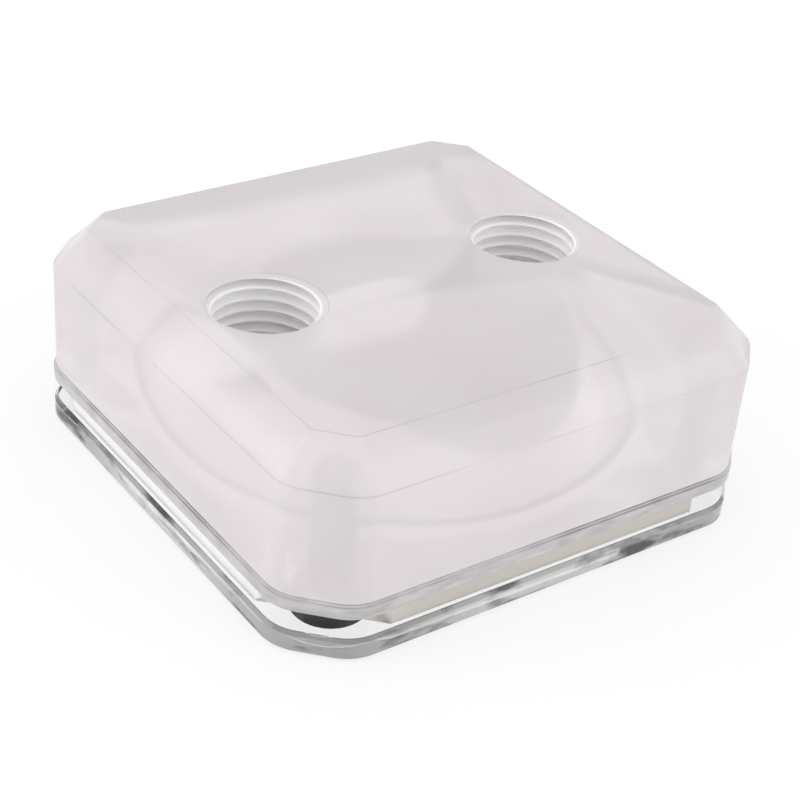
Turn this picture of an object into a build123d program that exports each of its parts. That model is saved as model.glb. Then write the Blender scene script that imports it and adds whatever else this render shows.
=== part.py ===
"""Square water cooling block: a satin acrylic body over a metal cold plate and a clear acrylic base plate.

Millimetres. +Z is up, the origin is at the middle of the underside. The two threaded ports lie on the X axis.
"""

import os
from math import radians, tan

from build123d import *

# Outline shared by the body and the base plate
block_side = 62.0
corner_cut = 6.0
corner_blend = 5.4

# Clear base plate
base_thickness = 2.5
base_top_break = 0.4
base_bottom_break = 0.2

# Metal cold plate, with its contact pad below and its fins above
cold_thickness = 2.5
cold_inset = 0.7
cold_corner_cut = 10.0
cold_edge_break = 0.15
pad_inset = 13.0
pad_corner_radius = 3.0
pad_clearance = 0.25
fin_end_gap = 8.0
fin_side_gap = 8.25
fin_thickness = 0.5
fin_pitch = 1.0
fin_height = 2.0

# Satin body, with a polished lip round its foot
body_height = 18.9
lip_height = 1.9
lip_stand = 0.3
lip_top_break = 0.35
lip_bottom_break = 0.15
top_bevel = 4.3

# Ports with a G1/4 thread, drawn at the thread's major radius
port_radius = 6.58
port_depth = 8.0
port_mouth_break = 0.25

# Water passages inside the body
chamber_inset = 11.0
chamber_depth = 7.0
channel_width = 9.0
channel_height = 3.0
passage_radius = 3.5
passage_inset = 5.5
port_offset = 3.0

# Insert that closes the inlet channel and holds the jet plate on the fins
insert_clearance = 0.2
eye_radius = 4.0
manifold_end_gap = 1.25
manifold_width = 9.0
manifold_depth = 1.6
manifold_corner = 3.0
rail_width = 2.6
rail_clearance = 0.15
jet_thickness = 0.8
jet_plate_overhang = 0.5
jet_slot_end_gap = 1.0
jet_slot_width = 1.0
jet_slot_pitch = 2.6
jet_slot_count = 3

# Seal ring in its groove
seal_wall = 1.8
seal_groove_width = 2.6
seal_height = 1.5
seal_side_clearance = 0.2
seal_bevel = 0.4

# Countersunk screws, put in from below
screw_inset = 8.0
screw_radius = 2.0
screw_length = 16.0
screw_tip_break = 0.5
head_radius = 3.75
head_land = 0.3
head_angle = 90.0
head_sink = 0.1
head_seat_clearance = 0.05
socket_across_flats = 2.5
socket_depth = 1.3
plate_hole_clearance = 0.2
thread_clearance = 0.05
screw_hole_spare = 1.5

# Levels, counted up from the underside
base_top = base_thickness
cold_top = base_top + cold_thickness
block_top = cold_top + body_height
chamber_roof = cold_top + chamber_depth
port_floor = block_top - port_depth
fin_top = cold_top + fin_height
jet_top = fin_top + jet_thickness
screw_tip = head_sink + screw_length

# Sizes and places that follow from those above
pad_side = block_side - 2 * pad_inset
screw_spacing = block_side - 2 * screw_inset
chamber_radius = block_side / 2 - chamber_inset
passage_x = chamber_radius - passage_inset
port_x = passage_x + port_offset
fin_length = 2 * (chamber_radius - fin_end_gap)
fin_field_width = 2 * (chamber_radius - fin_side_gap)
manifold_length = fin_field_width - 2 * manifold_end_gap
jet_plate_length = fin_length + 2 * jet_plate_overhang
jet_slot_length = manifold_length - 2 * jet_slot_end_gap
seal_radius = chamber_radius + seal_wall + seal_groove_width / 2
insert_radius = chamber_radius - insert_clearance
rail_y = fin_field_width / 2 + rail_clearance + rail_width / 2
head_slope = tan(radians(head_angle / 2))
head_cone_height = (head_radius - screw_radius) / head_slope
countersink_radius = head_radius + (head_sink + head_land) * head_slope + head_seat_clearance


def cut_square(side, cut, blend):
    """Draws a square with 45 degree corner cuts, rounded where each cut meets a side."""
    Rectangle(side, side)
    chamfer(vertices(), cut)
    if blend > 0:
        fillet(vertices(), blend)


def finish(shape, name):
    """Labels a finished piece and writes it."""
    shape.label = name
    export_step(shape, f"parts/{name}.step")
    print(name, round(shape.volume, 1), "mm3")


os.makedirs("parts", exist_ok=True)

# Base plate: a clear frame round the contact pad, countersunk from below for the screws
with BuildPart() as base_plate:
    with BuildSketch():
        cut_square(block_side, corner_cut, corner_blend)
    extrude(amount=base_thickness)
    chamfer(base_plate.faces().sort_by(Axis.Z)[-1].edges(), base_top_break)
    chamfer(base_plate.faces().sort_by(Axis.Z)[0].edges(), base_bottom_break)
    with BuildSketch():
        RectangleRounded(
            pad_side + 2 * pad_clearance,
            pad_side + 2 * pad_clearance,
            pad_corner_radius + pad_clearance,
        )
    extrude(amount=base_thickness, mode=Mode.SUBTRACT)
    with Locations(Plane.XY.rotated((180, 0, 0))):
        with GridLocations(screw_spacing, screw_spacing, 2, 2):
            CounterSinkHole(
                screw_radius + plate_hole_clearance,
                countersink_radius,
                depth=base_thickness,
                counter_sink_angle=head_angle,
            )
finish(base_plate.part, "base_plate")

# Cold plate: cut corners, a contact pad below that fills the frame, and a field of fine fins above
with BuildPart() as cold_plate:
    with BuildSketch(Plane.XY.offset(base_top)):
        cut_square(block_side - 2 * cold_inset, cold_corner_cut, 0)
    extrude(amount=cold_thickness)
    chamfer(cold_plate.faces().filter_by(Axis.Z).edges(), cold_edge_break)
    with BuildSketch():
        RectangleRounded(pad_side, pad_side, pad_corner_radius)
    extrude(amount=base_thickness)
    with BuildSketch(Plane.XY.offset(cold_top)):
        with GridLocations(0, fin_pitch, 1, int(fin_field_width / fin_pitch)):
            Rectangle(fin_length, fin_thickness)
    extrude(amount=fin_height)
    with BuildSketch(Plane.XY.offset(base_top)):
        with GridLocations(screw_spacing, screw_spacing, 2, 2):
            Circle(screw_radius + plate_hole_clearance)
    extrude(amount=cold_thickness, mode=Mode.SUBTRACT)
finish(cold_plate.part, "cold_plate")

# Body: a lip at the foot, satin sides set back above it, and a wide bevel round the top
with BuildPart() as top_body:
    with BuildSketch(Plane.XY.offset(cold_top)):
        cut_square(block_side, corner_cut, corner_blend)
    extrude(amount=lip_height)
    chamfer(top_body.faces().sort_by(Axis.Z)[-1].edges(), lip_top_break)
    chamfer(top_body.faces().sort_by(Axis.Z)[0].edges(), lip_bottom_break)
    with BuildSketch(Plane.XY.offset(cold_top)):
        cut_square(block_side, corner_cut, corner_blend)
        offset(amount=-lip_stand, mode=Mode.REPLACE)
    extrude(amount=body_height)
    chamfer(top_body.faces().sort_by(Axis.Z)[-1].edges(), top_bevel)
    # Ports, blind from above, with a broken edge at the mouth
    with BuildSketch(Plane.XY.offset(block_top)):
        with GridLocations(2 * port_x, 0, 2, 1):
            Circle(port_radius)
    extrude(amount=-port_depth, mode=Mode.SUBTRACT)
    mouths = top_body.faces().sort_by(Axis.Z)[-1].edges().filter_by(GeomType.CIRCLE)
    chamfer(mouths.filter_by(lambda edge: abs(edge.radius - port_radius) < 0.01), port_mouth_break)
    # Round chamber from below, with the inlet channel above its roof and a passage down from each port
    with BuildSketch(Plane.XY.offset(cold_top)):
        Circle(chamber_radius)
    extrude(amount=chamber_depth, mode=Mode.SUBTRACT)
    with BuildSketch(Plane.XY.offset(chamber_roof)):
        with Locations((-passage_x / 2, 0)):
            SlotCenterToCenter(passage_x, channel_width)
    extrude(amount=channel_height, mode=Mode.SUBTRACT)
    with BuildSketch(Plane.XY.offset(chamber_roof)):
        with GridLocations(2 * passage_x, 0, 2, 1):
            Circle(passage_radius)
    extrude(amount=port_floor - chamber_roof, mode=Mode.SUBTRACT)
    # Groove for the seal ring
    with BuildSketch(Plane.XY.offset(cold_top)):
        Circle(seal_radius + seal_groove_width / 2)
        Circle(seal_radius - seal_groove_width / 2, mode=Mode.SUBTRACT)
    extrude(amount=seal_height, mode=Mode.SUBTRACT)
    # Blind tapped holes for the screws
    with BuildSketch(Plane.XY.offset(cold_top)):
        with GridLocations(screw_spacing, screw_spacing, 2, 2):
            Circle(screw_radius + thread_clearance)
    extrude(amount=screw_tip + screw_hole_spare - cold_top, mode=Mode.SUBTRACT)
finish(top_body.part, "top_body")

# Insert: fills the chamber above the fins, with an eye under the inlet channel and two rails beside the fins
with BuildPart() as flow_insert:
    with BuildSketch(Plane.XY.offset(jet_top)):
        Circle(insert_radius)
    extrude(amount=chamber_roof - jet_top)
    with BuildSketch(Plane.XY.offset(cold_top)):
        with GridLocations(0, 2 * rail_y, 1, 2):
            Rectangle(fin_length, rail_width)
    extrude(amount=jet_top - cold_top)
    with BuildSketch(Plane.XY.offset(jet_top)):
        Circle(eye_radius)
        with Locations((passage_x, 0)):
            Circle(passage_radius)
    extrude(amount=chamber_roof - jet_top, mode=Mode.SUBTRACT)
    with BuildSketch(Plane.XY.offset(jet_top)):
        RectangleRounded(manifold_width, manifold_length, manifold_corner)
    extrude(amount=manifold_depth, mode=Mode.SUBTRACT)
finish(flow_insert.part, "flow_insert")

# Jet plate: thin sheet pressed on the fins, with slots across them
with BuildPart() as jet_plate:
    with BuildSketch(Plane.XY.offset(fin_top)):
        Rectangle(jet_plate_length, fin_field_width)
        with GridLocations(jet_slot_pitch, 0, jet_slot_count, 1):
            SlotOverall(jet_slot_length, jet_slot_width, rotation=90, mode=Mode.SUBTRACT)
    extrude(amount=jet_thickness)
finish(jet_plate.part, "jet_plate")

# Seal ring, pressed to the depth of its groove
with BuildPart() as chamber_seal:
    with BuildSketch(Plane.XZ):
        with Locations((seal_radius, cold_top + seal_height / 2)):
            Rectangle(seal_groove_width - 2 * seal_side_clearance, seal_height)
        chamfer(vertices(), seal_bevel)
    revolve(axis=Axis.Z)
finish(chamber_seal.part, "chamber_seal")

# One countersunk screw, drawn on the Z axis with its head down
with BuildPart() as screw:
    with BuildSketch(Plane.XZ):
        with BuildLine():
            Polyline(
                (0, head_sink),
                (head_radius, head_sink),
                (head_radius, head_sink + head_land),
                (screw_radius, head_sink + head_land + head_cone_height),
                (screw_radius, screw_tip - screw_tip_break),
                (screw_radius - screw_tip_break, screw_tip),
                (0, screw_tip),
                close=True,
            )
        make_face()
    revolve(axis=Axis.Z)
    with BuildSketch(Plane.XY.offset(head_sink)):
        RegularPolygon(socket_across_flats / 2, 6, major_radius=False)
    extrude(amount=socket_depth, mode=Mode.SUBTRACT)

for side, y_sign in (("front", -1), ("rear", 1)):
    for hand, x_sign in (("left", -1), ("right", 1)):
        place = Pos(x_sign * screw_spacing / 2, y_sign * screw_spacing / 2, 0)
        finish(place * screw.part, f"screw_{side}_{hand}")
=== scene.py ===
from math import atan2, cos, pi, radians, sin

import bmesh
import bpy
from mathutils import Matrix, Vector


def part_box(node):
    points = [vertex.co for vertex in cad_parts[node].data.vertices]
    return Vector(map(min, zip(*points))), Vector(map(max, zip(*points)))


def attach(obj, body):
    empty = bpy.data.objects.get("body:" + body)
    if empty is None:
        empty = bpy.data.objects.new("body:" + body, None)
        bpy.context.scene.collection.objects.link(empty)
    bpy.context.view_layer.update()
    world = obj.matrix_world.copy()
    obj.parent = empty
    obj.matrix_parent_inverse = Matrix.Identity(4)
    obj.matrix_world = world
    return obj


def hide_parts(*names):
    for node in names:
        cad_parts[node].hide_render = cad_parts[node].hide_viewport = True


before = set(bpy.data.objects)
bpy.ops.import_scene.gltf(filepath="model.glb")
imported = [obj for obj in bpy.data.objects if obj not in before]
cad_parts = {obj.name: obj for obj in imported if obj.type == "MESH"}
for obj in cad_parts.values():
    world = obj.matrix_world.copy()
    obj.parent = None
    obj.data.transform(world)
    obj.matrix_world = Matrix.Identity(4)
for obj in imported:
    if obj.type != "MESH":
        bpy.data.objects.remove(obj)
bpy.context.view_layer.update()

# Camera, fitted to the block's outline in the photograph
CAMERA_AZIMUTH = radians(-37.13)
CAMERA_ELEVATION = radians(33.20)
CAMERA_ROLL = radians(4.94)
CAMERA_DISTANCE = 0.21484
CAMERA_LENS = 81.91
CAMERA_SHIFT = (0.01805, 0.05809)
CAMERA_CLIP = (0.01, 20)

# Vertices nearer than the first are made one, and levels and radii nearer than the second are the same
WELD = 1e-6
SAME = 2e-5

# Edges sharper than this stay sharp
SHARP_ANGLE = radians(30)

# Ports, with the pitch and the depth of their thread
PORT_X = 0.0175
PORT_RADIUS = 0.00658
PORT_FLOOR = 0.0159
PORT_WALL_TOP = 0.02365
THREAD_PITCH = 0.001337
THREAD_DEPTH = 0.0008
THREAD_ROWS_PER_TURN = 14
THREAD_RUN_OUT = 0.0008
THREAD_LEAD_IN = 0.0002

# Shares of a turn that the flat crest and the flat root of the thread take
THREAD_CREST = 0.15
THREAD_ROOT = 0.20

# The four screws
SCREWS = ("screw_front_left", "screw_front_right", "screw_rear_left", "screw_rear_right")

# Where each finish of the body lies
LIP_TOP = 0.0069
BODY_FOOT = 0.005
PORT_MOUTH = 0.00665
SCREW_HOLE_RADIUS = 0.0022
SCREW_HEAD_RADIUS = 0.0043
SCREW_PLACE = 0.023
INNER_RADIUS = 0.0246
CHAMBER_ROOF = 0.01195
SATIN, POLISHED, CHAMBER, CHANNEL, THREAD, TAPPED = range(6)

# Levels between which the roots of the threads go from painted light, below, to painted shade at the
# mouth
PORT_SHADE_FOOT = 0.02185
PORT_SHADE_TOP = 0.02325

# Shares of the thread's depth between which its crest turns bright, a painted highlight
CREST_HIGHLIGHT_FROM = 0.6
CREST_HIGHLIGHT_TO = 0.9

# How far light wanders in the acrylic of the threads
SCATTER = 0.0025

# The two tones that go over into each other in each finish, as linear red, green and blue
SATIN_TONES = (0.955, 0.885, 0.905), (0.99, 0.935, 0.95)
LIP_TONES = (0.56, 0.54, 0.55), (0.72, 0.70, 0.71)
CHAMBER_TONES = (0.92, 0.83, 0.86), (0.96, 0.89, 0.91)
CHANNEL_TONES = (0.97, 0.95, 0.96), (0.99, 0.98, 0.98)
# Tapped holes: near-black painted shade, standing for the black screws seen through their walls
TAPPED_SHADE_TONES = (0.02, 0.02, 0.02), (0.25, 0.24, 0.245)
# Thread roots: painted light deep in the ports, painted shade at their mouth
THREAD_ROOT_LIT_AND_SHADED_TONES = (1.0, 0.97, 0.98), (0.66, 0.63, 0.64)
CLEAR_SIDE_TONES = (0.91, 0.90, 0.90), (0.95, 0.945, 0.94)
# Nickel: painted light for its lit left side, then painted shade for its shaded right side
NICKEL_LIT_AND_SHADED_TONES = (0.98, 0.965, 0.95), (0.57, 0.537, 0.50)
SILICONE_TONES = (0.74, 0.73, 0.71), (0.82, 0.81, 0.79)

# Single tones
# Painted highlight on the thread crests
THREAD_CREST_HIGHLIGHT_TONE = (1, 1, 1)
CLEAR_FACE_TONE = (0.99, 0.988, 0.984)
STEEL_TONE = (0.85, 0.82, 0.82)
BLACK_TONE = (0.05, 0.05, 0.055)
FLOOR_TONE = (0.9, 0.9, 0.9, 1)
WHITE = (1, 1, 1, 1)

# What is left of a tone under painted shade on the lip's chamfers, on the base plate's chamfer and on
# its sides near the screws, under the painted black over their heads, and in the grooves of brushed
# metal
LIP_CHAMFER_SHADE_LEFT = 0.5
BASE_CHAMFER_SHADE_LEFT = 0.75
CORNER_SHADE_LEFT = 0.68
PAINTED_HEAD_LEFT = 0.04
BRUSHED_LEFT = 0.92

# How far the lip's chamfers carry their painted shade where it is weakest
LIP_CHAMFER_SHADE_LEAST = 0.25

# Features per metre of the noise behind each detail
SATIN_GRAIN = 45
TAPPED_GRAIN = 250
FROST_GRAIN = 7000
CUT_GRAIN = 2500
WEAR_GRAIN = 60
CHAMFER_GRAIN = 70
LIP_GRAIN = 260
PATCH_GRAIN = 170
CLEAR_GRAIN = 90
BRUSHED_GRAIN = 2200
NICKEL_SHADE_GRAIN = 60
SILICONE_GRAIN = 300

# Heights of the fine relief in frosted and in cut acrylic
FROST_HEIGHT = 4e-6
CUT_HEIGHT = 3e-6

# The part of a noise's range in which one tone or finish turns into the other
MOTTLE = (0.35, 0.65)
WEAR_PATCHES = (0.40, 0.65)
CHAMFER_PATCHES = (0.40, 0.60)
CLEAR_PATCHES = (0.50, 0.66)
CLEAR_MOTTLE = (0.3, 0.7)

# How clear the base plate is: its faces, and the least and the most of its patchy sides
FACE_CLEARNESS = 0.98
SIDE_CLEARNESS = (0.5, 0.95)

# Roughness of the nickel from groove to groove, and how far other brushed metal strays from its own
NICKEL_ROUGHNESS = (0.22, 0.36)
BRUSHED_STRAY = 0.06

# How noise is laid along X, Y and Z: in flat streaks, and in the long fine lines of brushed metal
FLAT = (1, 1, 3)
BRUSHED = (0.03, 0.03, 1)

# Refractive index of acrylic, and one that keeps the satin skin from turning dark
ACRYLIC = 1.49
SKIN = 1.36

# Rubbed edges of the body: their levels, how wide they are and how softly they end
TOP_EDGE = 0.02382
BEVEL_FOOT = 0.0196
EDGE_WEAR = 0.00007
EDGE_SOFT = 0.00004

# How worn the edges are at most, and the finish of an edge that is worn through
WEAR_MOST = 0.32
WORN_ROUGHNESS = 0.1
WORN_CLEARNESS = 0.7

# Machined chamfers of the lip and of the base plate
LIP_TOP_BREAK = 0.00035
BASE_TOP = 0.0025
BASE_TOP_BREAK = 0.0004

# The base plate's sides get painted shade near a screw's axis, standing for its black head seen
# through them, fully up to the first distance and no more beyond the second
CORNER_SHADE_NEAR = 0.009
CORNER_SHADE_FAR = 0.017

# How far to either side of the middle the nickel goes from painted light to painted shade
NICKEL_SHADE_REACH = 0.012

# Gap left between the cold plate and what lies on it or under it
CONTACT_GAP = 0.00002

# Floor, a hair below the block
FLOOR_SIDE = 6
FLOOR_GAP = 0.0002

# Light: what the surroundings give, how much of the floor glows where it is seen, and the lamps
WORLD_LIGHT = 0.97
FLOOR_GLOW = 0.75
LAMPS = (
    ("key", (-0.9, 0.5, 0.4), 0.7, 3.5),
    ("top", (-0.5, -0.2, 1.0), 0.8, 0.6),
    ("fill", (0.6, -0.8, 0.4), 0.8, 2.6),
)


def camera():
    """Puts the camera at the photograph's viewing angle."""
    back = Vector((
        sin(CAMERA_AZIMUTH) * cos(CAMERA_ELEVATION),
        -cos(CAMERA_AZIMUTH) * cos(CAMERA_ELEVATION),
        sin(CAMERA_ELEVATION),
    ))
    level_right = (-back).cross(Vector((0, 0, 1))).normalized()
    level_up = level_right.cross(-back)
    right = cos(CAMERA_ROLL) * level_right + sin(CAMERA_ROLL) * level_up
    up = cos(CAMERA_ROLL) * level_up - sin(CAMERA_ROLL) * level_right
    data = bpy.data.cameras.new("camera")
    data.lens = CAMERA_LENS
    data.shift_x, data.shift_y = CAMERA_SHIFT
    data.clip_start, data.clip_end = CAMERA_CLIP
    obj = bpy.data.objects.new("camera", data)
    turned = Matrix((right, up, back)).transposed().to_4x4()
    obj.matrix_world = Matrix.Translation(back * CAMERA_DISTANCE) @ turned
    bpy.context.scene.collection.objects.link(obj)
    bpy.context.scene.camera = obj


def smooth(obj):
    """Smooth shading, with the sharp edges left sharp."""
    for polygon in obj.data.polygons:
        polygon.use_smooth = True
    obj.data.set_sharp_from_angle(angle=SHARP_ANGLE)


def thread_depth_at(turn):
    """How far the thread stands inward at this share of a turn: root, flank, crest, flank."""
    flank = (1 - THREAD_CREST - THREAD_ROOT) / 2
    if turn < THREAD_ROOT:
        return 0.0
    if turn < THREAD_ROOT + flank:
        return (turn - THREAD_ROOT) / flank
    if turn < THREAD_ROOT + flank + THREAD_CREST:
        return 1.0
    return (1 - turn) / flank


def thread_port(mesh, x):
    """Replaces the plain wall of one port by a wall with its helical thread."""
    axis = Vector((x, 0, 0))

    def radius(vertex):
        return Vector((vertex.co.x - axis.x, vertex.co.y)).length

    def on_wall(vertex):
        return abs(radius(vertex) - PORT_RADIUS) < SAME and vertex.co.z > PORT_FLOOR - SAME

    wall = [face for face in mesh.faces if all(on_wall(vertex) for vertex in face.verts)]
    bmesh.ops.delete(mesh, geom=wall, context="FACES_ONLY")
    bmesh.ops.delete(mesh, geom=[e for e in mesh.edges if not e.link_faces], context="EDGES")
    rims = []
    for level in (PORT_FLOOR, PORT_WALL_TOP):
        rim = [
            v for v in mesh.verts
            if abs(v.co.z - level) < SAME and abs(radius(v) - PORT_RADIUS) < SAME
        ]
        rims.append(sorted(rim, key=lambda v: atan2(v.co.y, v.co.x - axis.x)))
    low, high = rims
    assert len(low) == len(high), (len(low), len(high))
    height = PORT_WALL_TOP - PORT_FLOOR
    count = int(height / THREAD_PITCH * THREAD_ROWS_PER_TURN)
    rows = [low]
    for step in range(1, count):
        z = PORT_FLOOR + height * step / count
        fade = min(1, (z - PORT_FLOOR) / THREAD_RUN_OUT, (PORT_WALL_TOP - z) / THREAD_LEAD_IN)
        row = []
        for rim in low:
            angle = atan2(rim.co.y, rim.co.x - axis.x)
            turn = ((z - PORT_FLOOR) / THREAD_PITCH - angle / (2 * pi)) % 1
            r = PORT_RADIUS - THREAD_DEPTH * thread_depth_at(turn) * fade
            row.append(mesh.verts.new((axis.x + r * cos(angle), r * sin(angle), z)))
        rows.append(row)
    rows.append(high)
    for lower, upper in zip(rows, rows[1:]):
        for i in range(len(lower)):
            j = (i + 1) % len(lower)
            mesh.faces.new((lower[j], lower[i], upper[i], upper[j]))


def near(middle, places, radius):
    """Whether a point, seen from above, lies within the radius of one of the places."""
    return any((middle.xy - place).length < radius for place in places)


def face_finish(face, screws, ports):
    """Which finish a face of the body has, told by where the face lies."""
    middle = face.calc_center_median()
    if near(middle, screws, SCREW_HOLE_RADIUS):
        return TAPPED
    if middle.z > PORT_FLOOR - SAME and near(middle, ports, PORT_MOUTH):
        return THREAD
    if middle.z < PORT_FLOOR + SAME and middle.xy.length < INNER_RADIUS:
        return CHANNEL if middle.z > CHAMBER_ROOF else CHAMBER
    if middle.z < LIP_TOP:
        return POLISHED
    return SATIN


def screw_places():
    """The middles of the four screws, seen from above."""
    boxes = [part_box(name) for name in SCREWS]
    return [(Vector(low) + Vector(high)).xy / 2 for low, high in boxes]


def threaded_body():
    """The acrylic body, with the solid's own form and a thread cut in each port."""
    mesh = bmesh.new()
    mesh.from_mesh(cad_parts["top_body"].data)
    bmesh.ops.remove_doubles(mesh, verts=mesh.verts, dist=WELD)
    for x in (-PORT_X, PORT_X):
        thread_port(mesh, x)
    bmesh.ops.recalc_face_normals(mesh, faces=mesh.faces)
    screws = screw_places()
    ports = [Vector((x, 0)) for x in (-PORT_X, PORT_X)]
    for face in mesh.faces:
        face.material_index = face_finish(face, screws, ports)
    for vertex in mesh.verts:
        if vertex.co.z < BODY_FOOT + SAME:
            vertex.co.z = BODY_FOOT + CONTACT_GAP
    data = bpy.data.meshes.new("body_with_threads")
    mesh.to_mesh(data)
    mesh.free()
    obj = bpy.data.objects.new("body_with_threads", data)
    bpy.context.scene.collection.objects.link(obj)
    smooth(obj)
    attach(obj, "root")
    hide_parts("top_body")
    return obj


def settled_base():
    """The base plate, its top a hair below the cold plate so that no two faces share a place."""
    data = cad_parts["base_plate"].data.copy()
    for vertex in data.vertices:
        if vertex.co.z > BASE_TOP - SAME:
            vertex.co.z = BASE_TOP - CONTACT_GAP
    obj = bpy.data.objects.new("settled_base", data)
    bpy.context.scene.collection.objects.link(obj)
    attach(obj, "root")
    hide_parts("base_plate")
    return obj


def node(tree, kind, inputs=None, **settings):
    """Adds a node, sets it, and joins or fills its inputs."""
    made = tree.nodes.new(kind)
    for name, value in settings.items():
        setattr(made, name, value)
    for key, value in (inputs or {}).items():
        if isinstance(value, bpy.types.NodeSocket):
            tree.links.new(value, made.inputs[key])
        else:
            made.inputs[key].default_value = value
    return made


def material(name, **inputs):
    """A new node material: its tree, its Principled shader and the place of a point in metres."""
    made = bpy.data.materials.new(name)
    made.use_nodes = True
    tree = made.node_tree
    shader = tree.nodes["Principled BSDF"]
    for key, value in inputs.items():
        shader.inputs[key.replace("_", " ")].default_value = value
    place = node(tree, "ShaderNodeTexCoord").outputs["Object"]
    return made, tree, shader, place


def combine(tree, operation, first, second=0.0):
    """One value made out of two."""
    return node(tree, "ShaderNodeMath", {0: first, 1: second}, operation=operation).outputs[0]


def noise(tree, place, scale, detail=2.0, stretch=(1, 1, 1)):
    """Noise whose features are about one over the scale in metres, denser by the given factors."""
    laid = node(tree, "ShaderNodeMapping", {"Vector": place, "Scale": stretch})
    cloud = node(tree, "ShaderNodeTexNoise", {
        "Vector": laid.outputs[0], "Scale": scale, "Detail": detail,
    })
    return cloud.outputs["Fac"]


def spread(tree, value, low, high, to_low=0.0, to_high=1.0):
    """Maps a value from one range to another, held at its ends."""
    spread_out = node(tree, "ShaderNodeMapRange", {
        "Value": value, "From Min": low, "From Max": high, "To Min": to_low, "To Max": to_high,
    })
    return spread_out.outputs["Result"]


def blend_colours(tree, share, first, second):
    """Goes from the first colour to the second, each a fixed one or one that varies."""
    mix = node(tree, "ShaderNodeMix", {0: share}, data_type="RGBA")
    for socket, colour in ((mix.inputs[6], first), (mix.inputs[7], second)):
        if isinstance(colour, bpy.types.NodeSocket):
            tree.links.new(colour, socket)
        else:
            socket.default_value = (*colour, 1)
    return mix.outputs[2]


def darken(tree, share, colour, least):
    """A colour that falls to this least part of itself as the share rises to one."""
    level = spread(tree, share, 0, 1, 1, least)
    grey = node(tree, "ShaderNodeCombineColor", {0: level, 1: level, 2: level})
    mix = node(tree, "ShaderNodeMix", data_type="RGBA", blend_type="MULTIPLY")
    mix.inputs[0].default_value = 1
    tree.links.new(colour, mix.inputs[6])
    tree.links.new(grey.outputs[0], mix.inputs[7])
    return mix.outputs[2]


def relief(tree, shader, height, distance):
    """Fine relief in the finish, this high in metres."""
    raised = node(tree, "ShaderNodeBump", {"Height": height, "Distance": distance, "Strength": 1.0})
    tree.links.new(raised.outputs[0], shader.inputs["Normal"])


def window(tree, value, low, high, soft):
    """One between the low and the high value, falling to nothing over the soft width outside."""
    rise = spread(tree, value, low - soft, low)
    fall = spread(tree, value, high, high + soft, 1, 0)
    return combine(tree, "MULTIPLY", rise, fall)


def largest(tree, values):
    """The largest of some values."""
    most = values[0]
    for value in values[1:]:
        most = combine(tree, "MAXIMUM", most, value)
    return most


def worn_edges(tree, place):
    """How worn a point is: the rubbed lines along the edges above and below the wide bevel."""
    height = node(tree, "ShaderNodeSeparateXYZ", {0: place}).outputs["Z"]
    lines = largest(tree, [
        window(tree, height, TOP_EDGE - EDGE_WEAR, TOP_EDGE, EDGE_SOFT),
        window(tree, height, BEVEL_FOOT - EDGE_WEAR, BEVEL_FOOT + EDGE_WEAR, EDGE_SOFT),
    ])
    patchy = spread(tree, noise(tree, place, WEAR_GRAIN, 1), *WEAR_PATCHES, 0.0, WEAR_MOST)
    return combine(tree, "MULTIPLY", lines, patchy)


def acrylic(name, roughness, clearness, tones, ior=ACRYLIC, wear=False, grain=SATIN_GRAIN):
    """Acrylic whose finish is frosted, machined or polished."""
    made, tree, shader, place = material(
        name, Roughness=roughness, IOR=ior, Transmission_Weight=clearness,
    )
    tint = blend_colours(tree, spread(tree, noise(tree, place, grain, 3), *MOTTLE), *tones)
    tree.links.new(tint, shader.inputs["Base Color"])
    if wear:
        worn = worn_edges(tree, place)
        rubbed = spread(tree, worn, 0, 1, roughness, WORN_ROUGHNESS)
        cleared = spread(tree, worn, 0, 1, clearness, WORN_CLEARNESS)
        tree.links.new(rubbed, shader.inputs["Roughness"])
        tree.links.new(cleared, shader.inputs["Transmission Weight"])
    relief(tree, shader, noise(tree, place, FROST_GRAIN), FROST_HEIGHT)
    return made


def from_nearest(tree, place, x, y):
    """Distance, seen from above, to the nearest of the axes at plus or minus x and y."""
    apart = node(tree, "ShaderNodeSeparateXYZ", {0: place}).outputs
    offsets = []
    for axis, middle in (("X", x), ("Y", y)):
        size = combine(tree, "ABSOLUTE", apart[axis])
        offsets.append(combine(tree, "SUBTRACT", size, middle))
    flat = node(tree, "ShaderNodeCombineXYZ", {0: offsets[0], 1: offsets[1]}).outputs[0]
    return node(tree, "ShaderNodeVectorMath", {0: flat}, operation="LENGTH").outputs["Value"]


def threaded_acrylic():
    """The cut threads: crests with a painted highlight, over roots with painted shade at the mouth and
    painted light below.
    """
    made, tree, shader, place = material(
        "threaded_acrylic", Roughness=0.15, IOR=ACRYLIC, Transmission_Weight=0.05,
        Subsurface_Weight=0.6, Subsurface_Radius=(1, 1, 1), Subsurface_Scale=SCATTER,
    )
    height = node(tree, "ShaderNodeSeparateXYZ", {0: place}).outputs["Z"]
    toward_painted_shade = spread(tree, height, PORT_SHADE_FOOT, PORT_SHADE_TOP)
    root = blend_colours(tree, toward_painted_shade, *THREAD_ROOT_LIT_AND_SHADED_TONES)
    inward = combine(tree, "SUBTRACT", PORT_RADIUS, from_nearest(tree, place, PORT_X, 0))
    # Painted highlight along the crests
    crest = spread(tree, inward, CREST_HIGHLIGHT_FROM * THREAD_DEPTH, CREST_HIGHLIGHT_TO * THREAD_DEPTH)
    tint = blend_colours(tree, crest, root, THREAD_CREST_HIGHLIGHT_TONE)
    tree.links.new(tint, shader.inputs["Base Color"])
    relief(tree, shader, noise(tree, place, CUT_GRAIN), CUT_HEIGHT)
    return made


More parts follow.
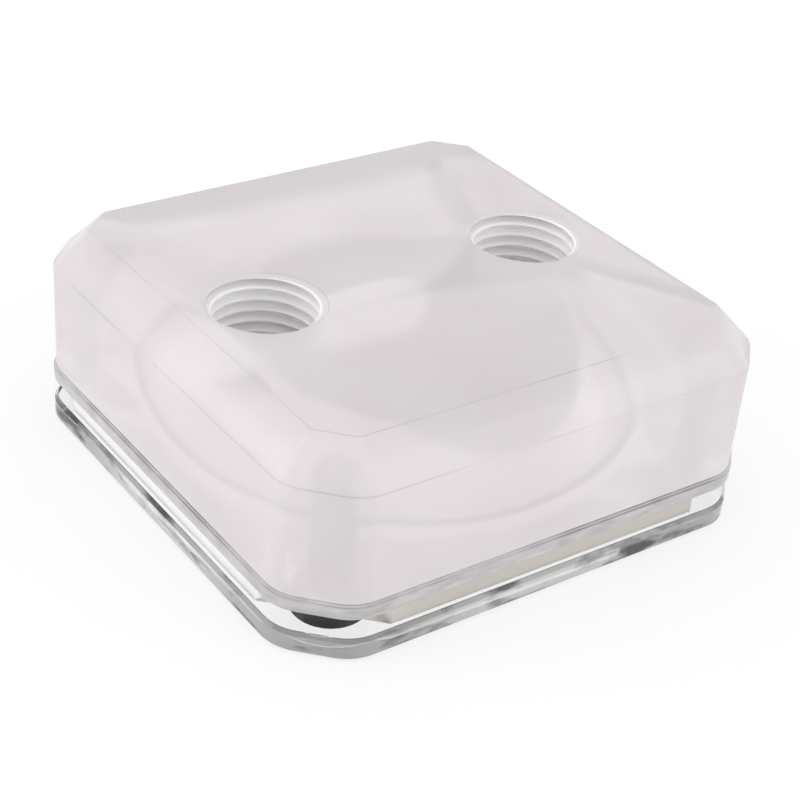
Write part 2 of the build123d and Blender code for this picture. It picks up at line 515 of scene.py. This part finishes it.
def lip_acrylic():
    """The polished lip, greyer than the body, with painted shade along its machined chamfers above and
    below.
    """
    made, tree, shader, place = material(
        "lip_acrylic", Roughness=0.06, IOR=ACRYLIC, Transmission_Weight=0.35,
    )
    height = node(tree, "ShaderNodeSeparateXYZ", {0: place}).outputs["Z"]
    # Painted shade along the lip's chamfers above and below
    lines = largest(tree, [
        window(tree, height, level - EDGE_WEAR, level + EDGE_WEAR, EDGE_SOFT)
        for level in (BODY_FOOT + EDGE_WEAR, LIP_TOP - LIP_TOP_BREAK, LIP_TOP - EDGE_WEAR)
    ])
    patchy = spread(tree, noise(tree, place, CHAMFER_GRAIN, 1), *CHAMFER_PATCHES, LIP_CHAMFER_SHADE_LEAST, 1)
    lines = combine(tree, "MULTIPLY", lines, patchy)
    streaks = spread(tree, noise(tree, place, LIP_GRAIN, stretch=FLAT), *MOTTLE)
    tint = darken(tree, lines, blend_colours(tree, streaks, *LIP_TONES), LIP_CHAMFER_SHADE_LEFT)
    tree.links.new(tint, shader.inputs["Base Color"])
    return made


def clear_acrylic():
    """Clear acrylic: patchy round its edges, with painted shade on its top chamfer and on its sides
    near the screws, and painted black where the screw heads would show through.
    """
    made, tree, shader, place = material("clear_acrylic", Roughness=0.04, IOR=ACRYLIC)
    height = node(tree, "ShaderNodeSeparateXYZ", {0: place}).outputs["Z"]
    side = window(tree, height, 2 * EDGE_SOFT, BASE_TOP - 2 * EDGE_SOFT, EDGE_SOFT)
    cloud = noise(tree, place, PATCH_GRAIN, stretch=FLAT)
    patches = spread(tree, cloud, *CLEAR_PATCHES, *SIDE_CLEARNESS)
    from_screw = from_nearest(tree, place, SCREW_PLACE, SCREW_PLACE)
    # Painted black on the walls over the screw heads, standing for the heads seen through the clear
    # plate
    head = spread(tree, from_screw, SCREW_HEAD_RADIUS, SCREW_HEAD_RADIUS + EDGE_SOFT, 1, 0)
    painted_head = combine(tree, "MULTIPLY", head, side)
    clearness = node(tree, "ShaderNodeMix", {0: side, 2: FACE_CLEARNESS, 3: patches}).outputs[0]
    clearness = node(tree, "ShaderNodeMix", {0: painted_head, 2: clearness, 3: 0.0}).outputs[0]
    tree.links.new(clearness, shader.inputs["Transmission Weight"])
    uneven = spread(tree, noise(tree, place, CLEAR_GRAIN), *CLEAR_MOTTLE)
    around = blend_colours(tree, uneven, *CLEAR_SIDE_TONES)
    tint = blend_colours(tree, side, CLEAR_FACE_TONE, around)
    # Painted shade along the base plate's top chamfer
    chamfer_shade = window(tree, height, BASE_TOP - BASE_TOP_BREAK, BASE_TOP - EDGE_SOFT, EDGE_SOFT)
    tint = darken(tree, chamfer_shade, tint, BASE_CHAMFER_SHADE_LEFT)
    # Painted shade on the sides near each screw, for its black head seen through the plate
    corner_shade = spread(tree, from_screw, CORNER_SHADE_NEAR, CORNER_SHADE_FAR, 1, 0)
    tint = darken(tree, combine(tree, "MULTIPLY", corner_shade, side), tint, CORNER_SHADE_LEFT)
    tree.links.new(darken(tree, painted_head, tint, PAINTED_HEAD_LEFT), shader.inputs["Base Color"])
    return made


def metal(name, tone, roughness):
    """Metal with fine brushing that shows in its tone and its roughness."""
    made, tree, shader, place = material(name, Metallic=1.0)
    brushed = noise(tree, place, BRUSHED_GRAIN, stretch=BRUSHED)
    tint = blend_colours(tree, brushed, tuple(BRUSHED_LEFT * part for part in tone), tone)
    tree.links.new(tint, shader.inputs["Base Color"])
    uneven = spread(tree, brushed, 0, 1, roughness - BRUSHED_STRAY, roughness + BRUSHED_STRAY)
    tree.links.new(uneven, shader.inputs["Roughness"])
    return made


def nickel_plate():
    """Nickel plating, with painted light on its left side and painted shade, warmer and darker,
    towards the right.
    """
    made, tree, shader, place = material("nickel_plate", Metallic=1.0)
    apart = node(tree, "ShaderNodeSeparateXYZ", {0: place}).outputs
    across = combine(tree, "SUBTRACT", apart["X"], apart["Y"])
    uneven = spread(tree, noise(tree, place, NICKEL_SHADE_GRAIN), 0, 1, -NICKEL_SHADE_REACH, NICKEL_SHADE_REACH)
    painted_shade = spread(tree, combine(tree, "ADD", across, uneven), -NICKEL_SHADE_REACH, NICKEL_SHADE_REACH)
    tint = blend_colours(tree, painted_shade, *NICKEL_LIT_AND_SHADED_TONES)
    tree.links.new(tint, shader.inputs["Base Color"])
    brushed = noise(tree, place, BRUSHED_GRAIN, stretch=BRUSHED)
    tree.links.new(spread(tree, brushed, 0, 1, *NICKEL_ROUGHNESS), shader.inputs["Roughness"])
    return made


def silicone():
    """The milky seal ring."""
    made, tree, shader, place = material("silicone", Roughness=0.5)
    tint = blend_colours(tree, noise(tree, place, SILICONE_GRAIN), *SILICONE_TONES)
    tree.links.new(tint, shader.inputs["Base Color"])
    return made


def dress(obj, *made):
    """Gives an object these materials in place of its own."""
    if obj.data.materials:
        obj.data.materials.clear()
    for each in made:
        obj.data.materials.append(each)


def seen_share(tree, share):
    """The share where the camera looks straight at it, all by gloss or through glass, else none."""
    path = node(tree, "ShaderNodeLightPath").outputs
    straight = combine(tree, "MULTIPLY", path["Is Camera Ray"], share)
    return largest(tree, [straight, path["Is Glossy Ray"], path["Is Transmission Ray"]])


def floor():
    """The pale floor, which glows in part where it is seen."""
    bpy.ops.mesh.primitive_plane_add(size=FLOOR_SIDE, location=(0, 0, -FLOOR_GAP))
    obj = bpy.context.object
    obj.name = "floor"
    made, tree, shader, _ = material("floor", Roughness=0.9, Base_Color=FLOOR_TONE)
    glow = node(tree, "ShaderNodeEmission", {"Color": WHITE})
    both = node(tree, "ShaderNodeMixShader", {
        0: seen_share(tree, FLOOR_GLOW), 1: shader.outputs[0], 2: glow.outputs[0],
    })
    tree.links.new(both.outputs[0], tree.nodes["Material Output"].inputs["Surface"])
    dress(obj, made)


def surroundings():
    """White surroundings, a little dimmer as light than where they are seen."""
    world = bpy.data.worlds.new("world")
    world.use_nodes = True
    bpy.context.scene.world = world
    tree = world.node_tree
    background = tree.nodes["Background"]
    light = spread(tree, seen_share(tree, 1.0), 0, 1, WORLD_LIGHT, 1.0)
    tree.links.new(light, background.inputs["Strength"])
    background.inputs["Color"].default_value = WHITE


def lamps():
    """Soft square lamps, each turned to the block."""
    for name, place, size, power in LAMPS:
        lamp = bpy.data.lights.new(name, "AREA")
        lamp.size = size
        lamp.energy = power
        obj = bpy.data.objects.new(name, lamp)
        obj.location = place
        obj.rotation_euler = (-Vector(place)).to_track_quat("-Z", "Y").to_euler()
        bpy.context.scene.collection.objects.link(obj)


camera()
floor()
surroundings()
lamps()
steel = metal("steel_sheet", STEEL_TONE, roughness=0.35)
black = metal("dark_steel", BLACK_TONE, roughness=0.4)
clear = clear_acrylic()
dress(
    threaded_body(),
    acrylic("satin_acrylic", 0.25, 0.40, SATIN_TONES, ior=SKIN, wear=True),
    lip_acrylic(),
    acrylic("chamber_acrylic", 0.40, 0.40, CHAMBER_TONES),
    acrylic("channel_acrylic", 0.40, 0.25, CHANNEL_TONES),
    threaded_acrylic(),
    acrylic("tapped_acrylic", 0.50, 0.0, TAPPED_SHADE_TONES, grain=TAPPED_GRAIN),
)
dress(settled_base(), clear)
dress(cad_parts["flow_insert"], clear)
dress(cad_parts["cold_plate"], nickel_plate())
dress(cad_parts["jet_plate"], steel)
dress(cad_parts["chamber_seal"], silicone())
for name in SCREWS:
    dress(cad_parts[name], black)
bpy.context.scene.view_settings.view_transform = "Standard"
